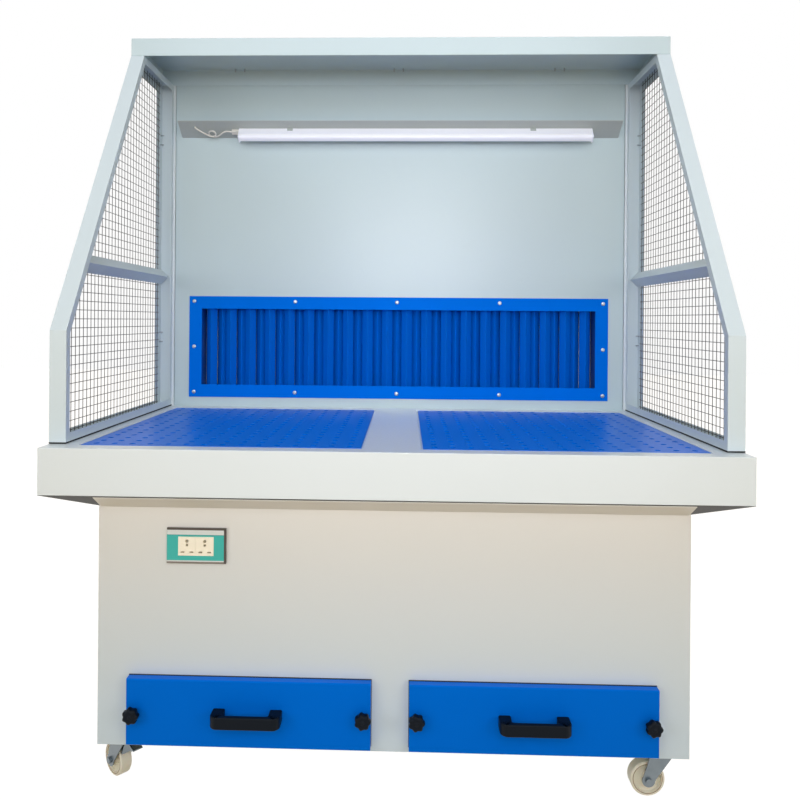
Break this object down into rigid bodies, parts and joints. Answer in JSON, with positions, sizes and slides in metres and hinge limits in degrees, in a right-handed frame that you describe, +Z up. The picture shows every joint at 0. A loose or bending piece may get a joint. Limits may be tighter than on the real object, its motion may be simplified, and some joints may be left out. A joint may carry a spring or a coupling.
{
  "type": "downdraft grinding table",
  "caption": "Downdraft grinding table with perforated work panels, a suction grille, net side wings, a hood with a lamp, dust drawers and casters.",
  "frame": {"origin": "on the floor under the middle of the overall box", "axes": "+X to the user's right, +Y to the rear, +Z up"},
  "size_m": [1.4166, 0.998, 1.7153],
  "materials": {
    "pale_paint": "fine powder coat",
    "cabinet_paint": "fine powder coat",
    "hopper_paint": "matt powder coat",
    "blue_paint": "satin paint",
    "net_wire": "drawn wire",
    "zinc": "zinc plated",
    "black_plastic": "moulded",
    "black_rubber": "extruded",
    "white_plastic": "moulded",
    "ivory_plastic": "moulded",
    "ivory_nylon": "moulded nylon",
    "socket_silver": "moulded",
    "lamp_cover": "frosted",
    "lamp_body": "extruded",
    "filter_cloth": "pleated",
    "fan_steel": "galvanised",
    "motor_grey": "enamel",
    "switch_red": "moulded"
  },
  "bodies": {
    "base": {"table_top": "pale_paint", "hopper": "hopper_paint", "cabinet_front": "cabinet_paint", "cabinet_body": "cabinet_paint", "housing_shell": "pale_paint", "back_panel": "pale_paint", "fixed_hinge_leaves": "zinc", "lamp_bracket": "pale_paint", "lamp_housing": "lamp_body", "lamp_diffuser": "lamp_cover", "lamp_plug": "white_plastic", "lamp_clips": "zinc", "lamp_lead": "white_plastic", "suction_frame": "blue_paint", "spark_trap": "blue_paint", "suction_screws": "zinc", "socket_plate": "socket_silver", "socket_modules": "ivory_plastic", "drawer_seals": "black_rubber", "caster_plates": "zinc", "rear_caster_forks": "zinc", "chamber_wall": "hopper_paint", "filter_cartridges": "filter_cloth", "fan_scroll": "fan_steel", "fan_motor": "motor_grey", "pulse_tank": "fan_steel", "control_box": "cabinet_paint", "power_gland": "black_plastic", "rear_cover": "cabinet_paint", "rear_cover_screws": "zinc"},
    "hood": {"hood": "pale_paint", "hood_hinges": "zinc"},
    "fan": {"fan_impeller": "fan_steel"},
    "switch": {"switch_knob": "switch_red"},
    "wing_left": {"wing_frame_left": "pale_paint", "wing_net_left": "net_wire", "wing_seal_left": "black_rubber", "wing_hinges_left": "zinc"},
    "panel_left": {"perforated_panel_left": "blue_paint"},
    "drawer_left": {"drawer_left": "blue_paint", "handle_left": "black_plastic"},
    "caster_left": {"caster_fork_left": "zinc"},
    "lever_left": {"brake_lever_left": "zinc"},
    "front_wheel_left": {"wheel_front_left": "ivory_nylon"},
    "rear_wheel_left": {"wheel_rear_left": "ivory_nylon"},
    "wing_right": {"wing_frame_right": "pale_paint", "wing_net_right": "net_wire", "wing_seal_right": "black_rubber", "wing_hinges_right": "zinc"},
    "panel_right": {"perforated_panel_right": "blue_paint"},
    "drawer_right": {"drawer_right": "blue_paint", "handle_right": "black_plastic"},
    "caster_right": {"caster_fork_right": "zinc"},
    "lever_right": {"brake_lever_right": "zinc"},
    "front_wheel_right": {"wheel_front_right": "ivory_nylon"},
    "rear_wheel_right": {"wheel_rear_right": "ivory_nylon"},
    "knob_1": {"star_knob_1": "black_plastic"},
    "knob_2": {"star_knob_2": "black_plastic"},
    "knob_3": {"star_knob_3": "black_plastic"},
    "knob_4": {"star_knob_4": "black_plastic"}
  },
  "joints": [
    {"name": "hood_hinge", "type": "hinge", "parent": "base", "child": "hood", "pos_m": [0, 0.25385, 1.7113], "axis": [-1, 0, 0], "range_deg": [0, 170]},
    {"name": "wing_hinge_left", "type": "hinge", "parent": "base", "child": "wing_left", "pos_m": [-0.7043, 0.25385, 1.2], "axis": [0, 0, -1], "range_deg": [0, 175]},
    {"name": "panel_lift_left", "type": "slide", "parent": "base", "child": "panel_left", "axis": [0, 0, 1], "range_m": [0, 0.2]},
    {"name": "drawer_slide_left", "type": "slide", "parent": "base", "child": "drawer_left", "axis": [0, -1, 0], "range_m": [0, 0.38]},
    {"name": "wing_hinge_right", "type": "hinge", "parent": "base", "child": "wing_right", "pos_m": [0.7043, 0.25385, 1.2], "axis": [0, 0, 1], "range_deg": [0, 175]},
    {"name": "panel_lift_right", "type": "slide", "parent": "base", "child": "panel_right", "axis": [0, 0, 1], "range_m": [0, 0.2]},
    {"name": "drawer_slide_right", "type": "slide", "parent": "base", "child": "drawer_right", "axis": [0, -1, 0], "range_m": [0, 0.38]},
    {"name": "knob_turn_1", "type": "hinge", "parent": "drawer_left", "child": "knob_1", "pos_m": [-0.513, -0.461, 0.185], "axis": [0, 1, 0], "range_deg": [0, 1080]},
    {"name": "knob_turn_2", "type": "hinge", "parent": "drawer_left", "child": "knob_2", "pos_m": [-0.053, -0.461, 0.185], "axis": [0, 1, 0], "range_deg": [0, 1080]},
    {"name": "knob_turn_3", "type": "hinge", "parent": "drawer_right", "child": "knob_3", "pos_m": [0.053, -0.461, 0.185], "axis": [0, 1, 0], "range_deg": [0, 1080]},
    {"name": "knob_turn_4", "type": "hinge", "parent": "drawer_right", "child": "knob_4", "pos_m": [0.513, -0.461, 0.185], "axis": [0, 1, 0], "range_deg": [0, 1080]},
    {"name": "caster_swivel_left", "type": "hinge", "parent": "base", "child": "caster_left", "pos_m": [-0.559, -0.377, 0.095], "axis": [0, 0, 1], "continuous": true},
    {"name": "front_wheel_turn_left", "type": "hinge", "parent": "caster_left", "child": "front_wheel_left", "pos_m": [-0.58164, -0.35732, 0.035], "axis": [-0.6561, -0.7547, 0], "continuous": true},
    {"name": "brake_lever_left", "type": "hinge", "parent": "caster_left", "child": "lever_left", "pos_m": [-0.54994, -0.38487, 0.084], "axis": [0.6561, 0.7547, 0], "range_deg": [0, 20]},
    {"name": "rear_wheel_turn_left", "type": "hinge", "parent": "base", "child": "rear_wheel_left", "pos_m": [-0.559, 0.399, 0.035], "axis": [1, 0, 0], "continuous": true},
    {"name": "caster_swivel_right", "type": "hinge", "parent": "base", "child": "caster_right", "pos_m": [0.559, -0.377, 0.095], "axis": [0, 0, 1], "continuous": true},
    {"name": "front_wheel_turn_right", "type": "hinge", "parent": "caster_right", "child": "front_wheel_right", "pos_m": [0.529, -0.377, 0.035], "axis": [0, -1, 0], "continuous": true},
    {"name": "brake_lever_right", "type": "hinge", "parent": "caster_right", "child": "lever_right", "pos_m": [0.571, -0.377, 0.084], "axis": [0, 1, 0], "range_deg": [0, 20]},
    {"name": "rear_wheel_turn_right", "type": "hinge", "parent": "base", "child": "rear_wheel_right", "pos_m": [0.559, 0.399, 0.035], "axis": [1, 0, 0], "continuous": true},
    {"name": "fan_spin", "type": "hinge", "parent": "base", "child": "fan", "pos_m": [0, 0.289, 0.307], "axis": [1, 0, 0], "continuous": true},
    {"name": "switch_turn", "type": "hinge", "parent": "base", "child": "switch", "pos_m": [0.67, 0.169, 0.468], "axis": [1, 0, 0], "range_deg": [0, 90]}
  ]
}
